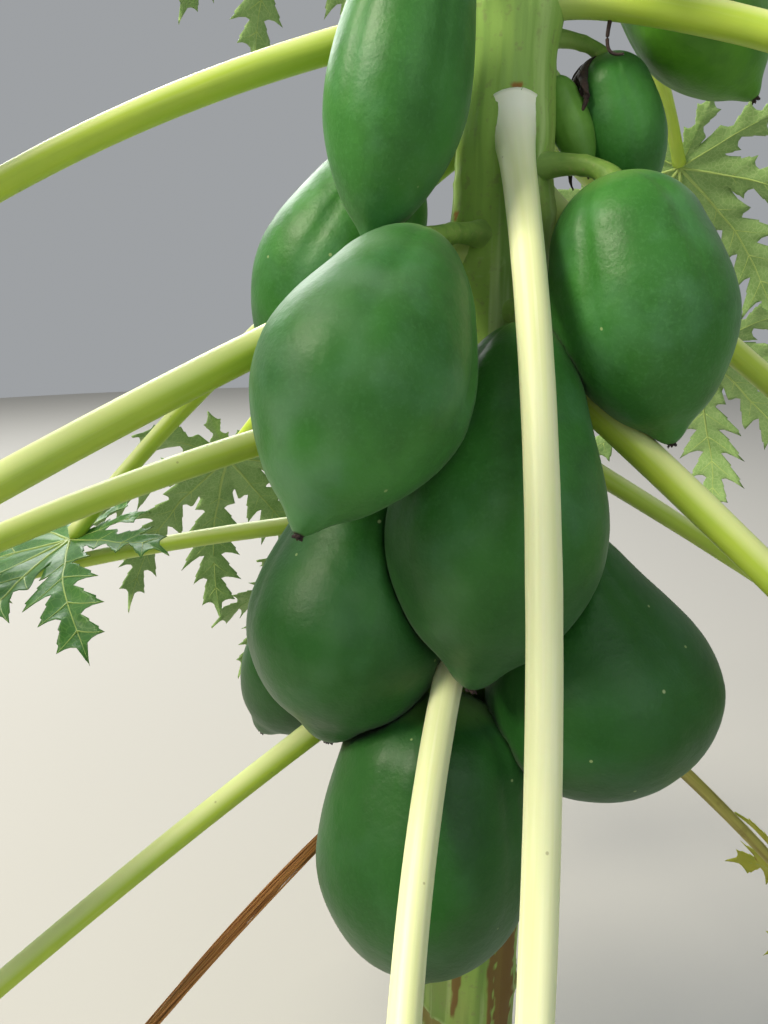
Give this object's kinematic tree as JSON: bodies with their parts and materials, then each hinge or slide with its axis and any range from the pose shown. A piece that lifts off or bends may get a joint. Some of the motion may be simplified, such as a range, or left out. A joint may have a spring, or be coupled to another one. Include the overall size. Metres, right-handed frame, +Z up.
{
  "type": "papaya tree",
  "caption": "Fruiting papaya tree: one soft green trunk, hanging green fruit in the lower leaf axils, and a crown of long-stalked, deeply lobed leaves.",
  "frame": {"origin": "centre of the flat cut under the trunk, at ground level", "axes": "+Z up; -Y is the side that the picture is taken from; +X is to the right in it"},
  "size_m": [1.4892, 1.3913, 2.1929],
  "materials": {
    "bark": "green stem skin with leaf scars",
    "stalk": "smooth waxy pale green",
    "dry_stalk": "dry and fibrous",
    "leaf": "satin leaf",
    "young_leaf": "satin young leaf",
    "rind": "waxy unripe rind with bloom"
  },
  "bodies": {
    "root": {"trunk": "bark", "crown_bud": "young_leaf", "petiole_01": "stalk", "petiole_02": "stalk", "petiole_03": "stalk", "petiole_04": "stalk", "petiole_05": "stalk", "petiole_06": "stalk", "petiole_07": "stalk", "petiole_08": "stalk", "petiole_09": "stalk", "petiole_10": "stalk", "petiole_11": "stalk", "petiole_12": "stalk", "petiole_13": "stalk", "petiole_14": "stalk", "dry_petiole": "dry_stalk", "blade_01": "leaf", "blade_02": "leaf", "blade_03": "leaf", "blade_04": "leaf", "blade_05": "leaf", "blade_06": "leaf", "blade_07": "leaf", "blade_08": "leaf", "blade_09": "leaf", "blade_10": "leaf", "blade_11": "leaf", "blade_12": "leaf", "blade_13": "leaf", "blade_14": "leaf", "leaf_15": "leaf", "leaf_16": "leaf", "leaf_17": "leaf", "leaf_18": "leaf", "leaf_19": "young_leaf", "leaf_20": "young_leaf", "leaf_21": "young_leaf", "leaf_22": "young_leaf", "leaf_23": "young_leaf", "leaf_24": "young_leaf", "leaf_25": "young_leaf", "leaf_26": "young_leaf", "leaf_27": "young_leaf", "leaf_28": "young_leaf", "leaf_29": "young_leaf", "fruit_01": "rind", "fruit_02": "rind", "fruit_03": "rind", "fruit_04": "rind", "fruit_05": "rind", "fruit_06": "rind", "fruit_07": "rind", "fruit_08": "rind", "fruit_09": "rind", "fruit_10": "rind", "fruit_11": "rind", "fruit_12": "rind", "fruit_13": "rind", "fruit_14": "rind"}
  },
  "joints": []
}
